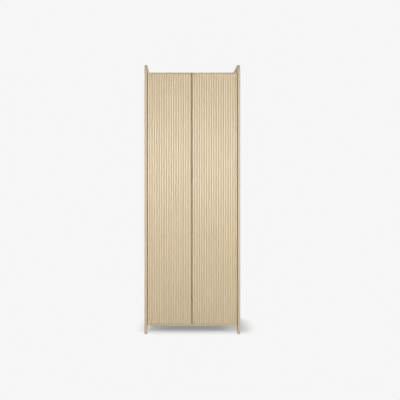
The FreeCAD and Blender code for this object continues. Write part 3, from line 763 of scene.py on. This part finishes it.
# The air lights the cabinet weakly from all sides. The lamps do the rest: name, place, width,
# height and power in watts. The front pair gives the ribs their light and shade.
AIR = 0.06
LAMPS = (
    ("front_left_soft_box", (-1.12, -3.08, 1.32), 0.8, 0.7, 53),
    ("front_right_soft_box", (2.08, -2.12, 1.32), 0.8, 1.0, 37),
    ("back_left_soft_box", (-2.8, 2.4, 1.3), 1.4, 1.2, 72),
    ("back_right_soft_box", (2.8, 2.4, 1.3), 1.4, 1.2, 72),
    ("top_soft_box", (0, 0.3, 4), 1.2, 1.2, 16),
)
LAMP_AIM = (0, -0.2, 1.2)
FLOOR_SIZE = 16
# The floor shows a painted shadow in a rectangle of half this size about this middle: darker
# paper on which the lamps' real shadow falls, lost over the fade. The last number is the
# strength of a painted cool glow on it that keeps the shadow from turning black.
SHADOW_MIDDLE = (0.035, 0.07, 0)
SHADOW_HALF = (0.29, 0.12, 1)
SHADOW_FADE = (0.14, 0.195, 1)
PAINTED_GLOW_STRENGTH = 0.27
# The camera looks straight along +Y, with its sensor and lens in millimetres.
CAMERA_PLACE = (-0.116, -4.315, 0.9656)
CAMERA_TURN = (math.pi / 2, 0, 0)
CAMERA_SENSOR, CAMERA_LENS = 36, 55.3
CAMERA_SHIFT = (0.0625, -0.025)


def fill_air(world, shades):
    """Weak light from all sides, while the camera and mirrors see the backdrop."""
    world.use_nodes = True
    tree = world.node_tree
    tree.nodes.clear()
    rays = add_node(tree, "ShaderNodeLightPath").outputs
    seen = rays["Is Camera Ray"]
    for kind in ("Is Glossy Ray", "Is Transmission Ray"):
        seen = add_node(
            tree, "ShaderNodeMath", {0: seen, 1: rays[kind]}, operation="MAXIMUM").outputs[0]
    air = add_node(tree, "ShaderNodeBackground", {"Color": opaque((1, 1, 1)), "Strength": AIR})
    screen = add_node(tree, "ShaderNodeBackground", {
        "Color": opaque(shades.backdrop), "Strength": 1})
    both = add_node(tree, "ShaderNodeMixShader", {
        0: seen, 1: air.outputs[0], 2: screen.outputs[0]})
    add_node(tree, "ShaderNodeOutputWorld", {"Surface": both.outputs[0]})


def make_paper(shades):
    """Floor paper with a painted shadow near the cabinet, darker paper with the lamps' real shadow
    and a painted glow on it, which fades into the backdrop.
    """
    material = bpy.data.materials.new("studio_paper_rolled")
    material.use_nodes = True
    tree = material.node_tree
    tree.nodes.remove(tree.nodes["Principled BSDF"])
    away = add_node(tree, "ShaderNodeTexCoord").outputs["Object"]
    steps = (
        ("SUBTRACT", SHADOW_MIDDLE), ("ABSOLUTE", NOWHERE), ("SUBTRACT", SHADOW_HALF),
        ("MAXIMUM", NOWHERE), ("DIVIDE", SHADOW_FADE))
    for operation, other in steps:
        away = add_node(
            tree, "ShaderNodeVectorMath", {0: away, 1: other}, operation=operation).outputs[0]
    reach = add_node(tree, "ShaderNodeVectorMath", {0: away}, operation="LENGTH")
    fade = add_node(
        tree, "ShaderNodeMapRange", {"Value": reach.outputs["Value"]},
        interpolation_type="SMOOTHSTEP")
    rays = add_node(tree, "ShaderNodeLightPath").outputs
    glow = add_node(tree, "ShaderNodeEmission", {
        "Color": opaque(shades.backdrop), "Strength": 1})
    paper = add_node(tree, "ShaderNodeBsdfDiffuse", {"Color": opaque(shades.paper)})
    # Painted shadow: the camera sees darker paper, with a painted cool glow added.
    shade = add_node(tree, "ShaderNodeBsdfDiffuse", {"Color": opaque(shades.painted_shadow_paper)})
    painted_glow = add_node(tree, "ShaderNodeEmission", {
        "Color": opaque(shades.painted_shadow_glow), "Strength": PAINTED_GLOW_STRENGTH})
    glowing_shadow_paper = add_node(tree, "ShaderNodeAddShader", {0: shade.outputs[0], 1: painted_glow.outputs[0]})
    faded = add_node(tree, "ShaderNodeMixShader", {
        0: fade.outputs[0], 1: glowing_shadow_paper.outputs[0], 2: glow.outputs[0]})
    shown = add_node(tree, "ShaderNodeMixShader", {
        0: rays["Is Camera Ray"], 1: paper.outputs[0], 2: faded.outputs[0]})
    tree.links.new(shown.outputs[0], tree.nodes["Material Output"].inputs["Surface"])
    return material


class CABINET_OT_stage(bpy.types.Operator):
    """Sets the floor, the backdrop, the lamps and the camera"""
    bl_idname = "cabinet.stage"
    bl_label = "Studio"

    def execute(self, context):
        scene = context.scene
        shades = scene.cabinet_colours
        scene.world = bpy.data.worlds.new("studio_air")
        fill_air(scene.world, shades)

        bpy.ops.object.select_all(action="DESELECT")
        bpy.ops.mesh.primitive_plane_add(size=FLOOR_SIZE)
        floor = context.object
        floor.name = "studio_floor"
        floor.data.materials.append(make_paper(shades))

        for name, place, width, height, power in LAMPS:
            bpy.ops.object.light_add(type="AREA", location=place)
            lamp = context.object
            lamp.name = name
            lamp.data.shape = "RECTANGLE"
            lamp.data.size, lamp.data.size_y = width, height
            lamp.data.energy = power
            lamp.visible_camera = False
            aim = Vector(LAMP_AIM) - Vector(place)
            lamp.rotation_euler = aim.to_track_quat("-Z", "Y").to_euler()

        bpy.ops.object.camera_add(location=CAMERA_PLACE, rotation=CAMERA_TURN)
        camera = context.object
        camera.data.sensor_width = CAMERA_SENSOR
        camera.data.lens = CAMERA_LENS
        camera.data.shift_x, camera.data.shift_y = CAMERA_SHIFT
        scene.camera = camera
        scene.view_settings.view_transform = "Standard"
        return {"FINISHED"}


OPERATORS = (
    CABINET_OT_cad_nodes, CABINET_OT_gables, CABINET_OT_slats, CABINET_OT_shelf_pins,
    CABINET_OT_cam_discs, CABINET_OT_catches, CABINET_OT_strikes, CABINET_OT_screws,
    CABINET_OT_glides, CABINET_OT_stage)


class CABINET_PT_panel(bpy.types.Panel):
    bl_idname = "CABINET_PT_panel"
    bl_label = "Louvred Door Cabinet"
    bl_space_type = "VIEW_3D"
    bl_region_type = "UI"
    bl_category = "Cabinet"

    def draw(self, context):
        for group in (context.scene.cabinet_sizes, context.scene.cabinet_colours):
            column = self.layout.column()
            for name in group.__annotations__:
                column.prop(group, name)
        for operator in OPERATORS:
            self.layout.operator(operator.bl_idname)


CLASSES = (CabinetSizes, CabinetColours, *OPERATORS, CABINET_PT_panel)


def register():
    for item in CLASSES:
        bpy.utils.register_class(item)
    bpy.types.Scene.cabinet_sizes = bpy.props.PointerProperty(type=CabinetSizes)
    bpy.types.Scene.cabinet_colours = bpy.props.PointerProperty(type=CabinetColours)


def unregister():
    del bpy.types.Scene.cabinet_colours
    del bpy.types.Scene.cabinet_sizes
    for item in reversed(CLASSES):
        bpy.utils.unregister_class(item)


def main():
    register()
    bpy.ops.cabinet.cad_nodes()
    bpy.ops.cabinet.gables()
    bpy.ops.cabinet.slats()
    bpy.ops.cabinet.shelf_pins()
    bpy.ops.cabinet.cam_discs()
    bpy.ops.cabinet.catches()
    bpy.ops.cabinet.strikes()
    bpy.ops.cabinet.screws()
    bpy.ops.cabinet.glides()
    bpy.ops.cabinet.stage()


if __name__ == "__main__":
    main()
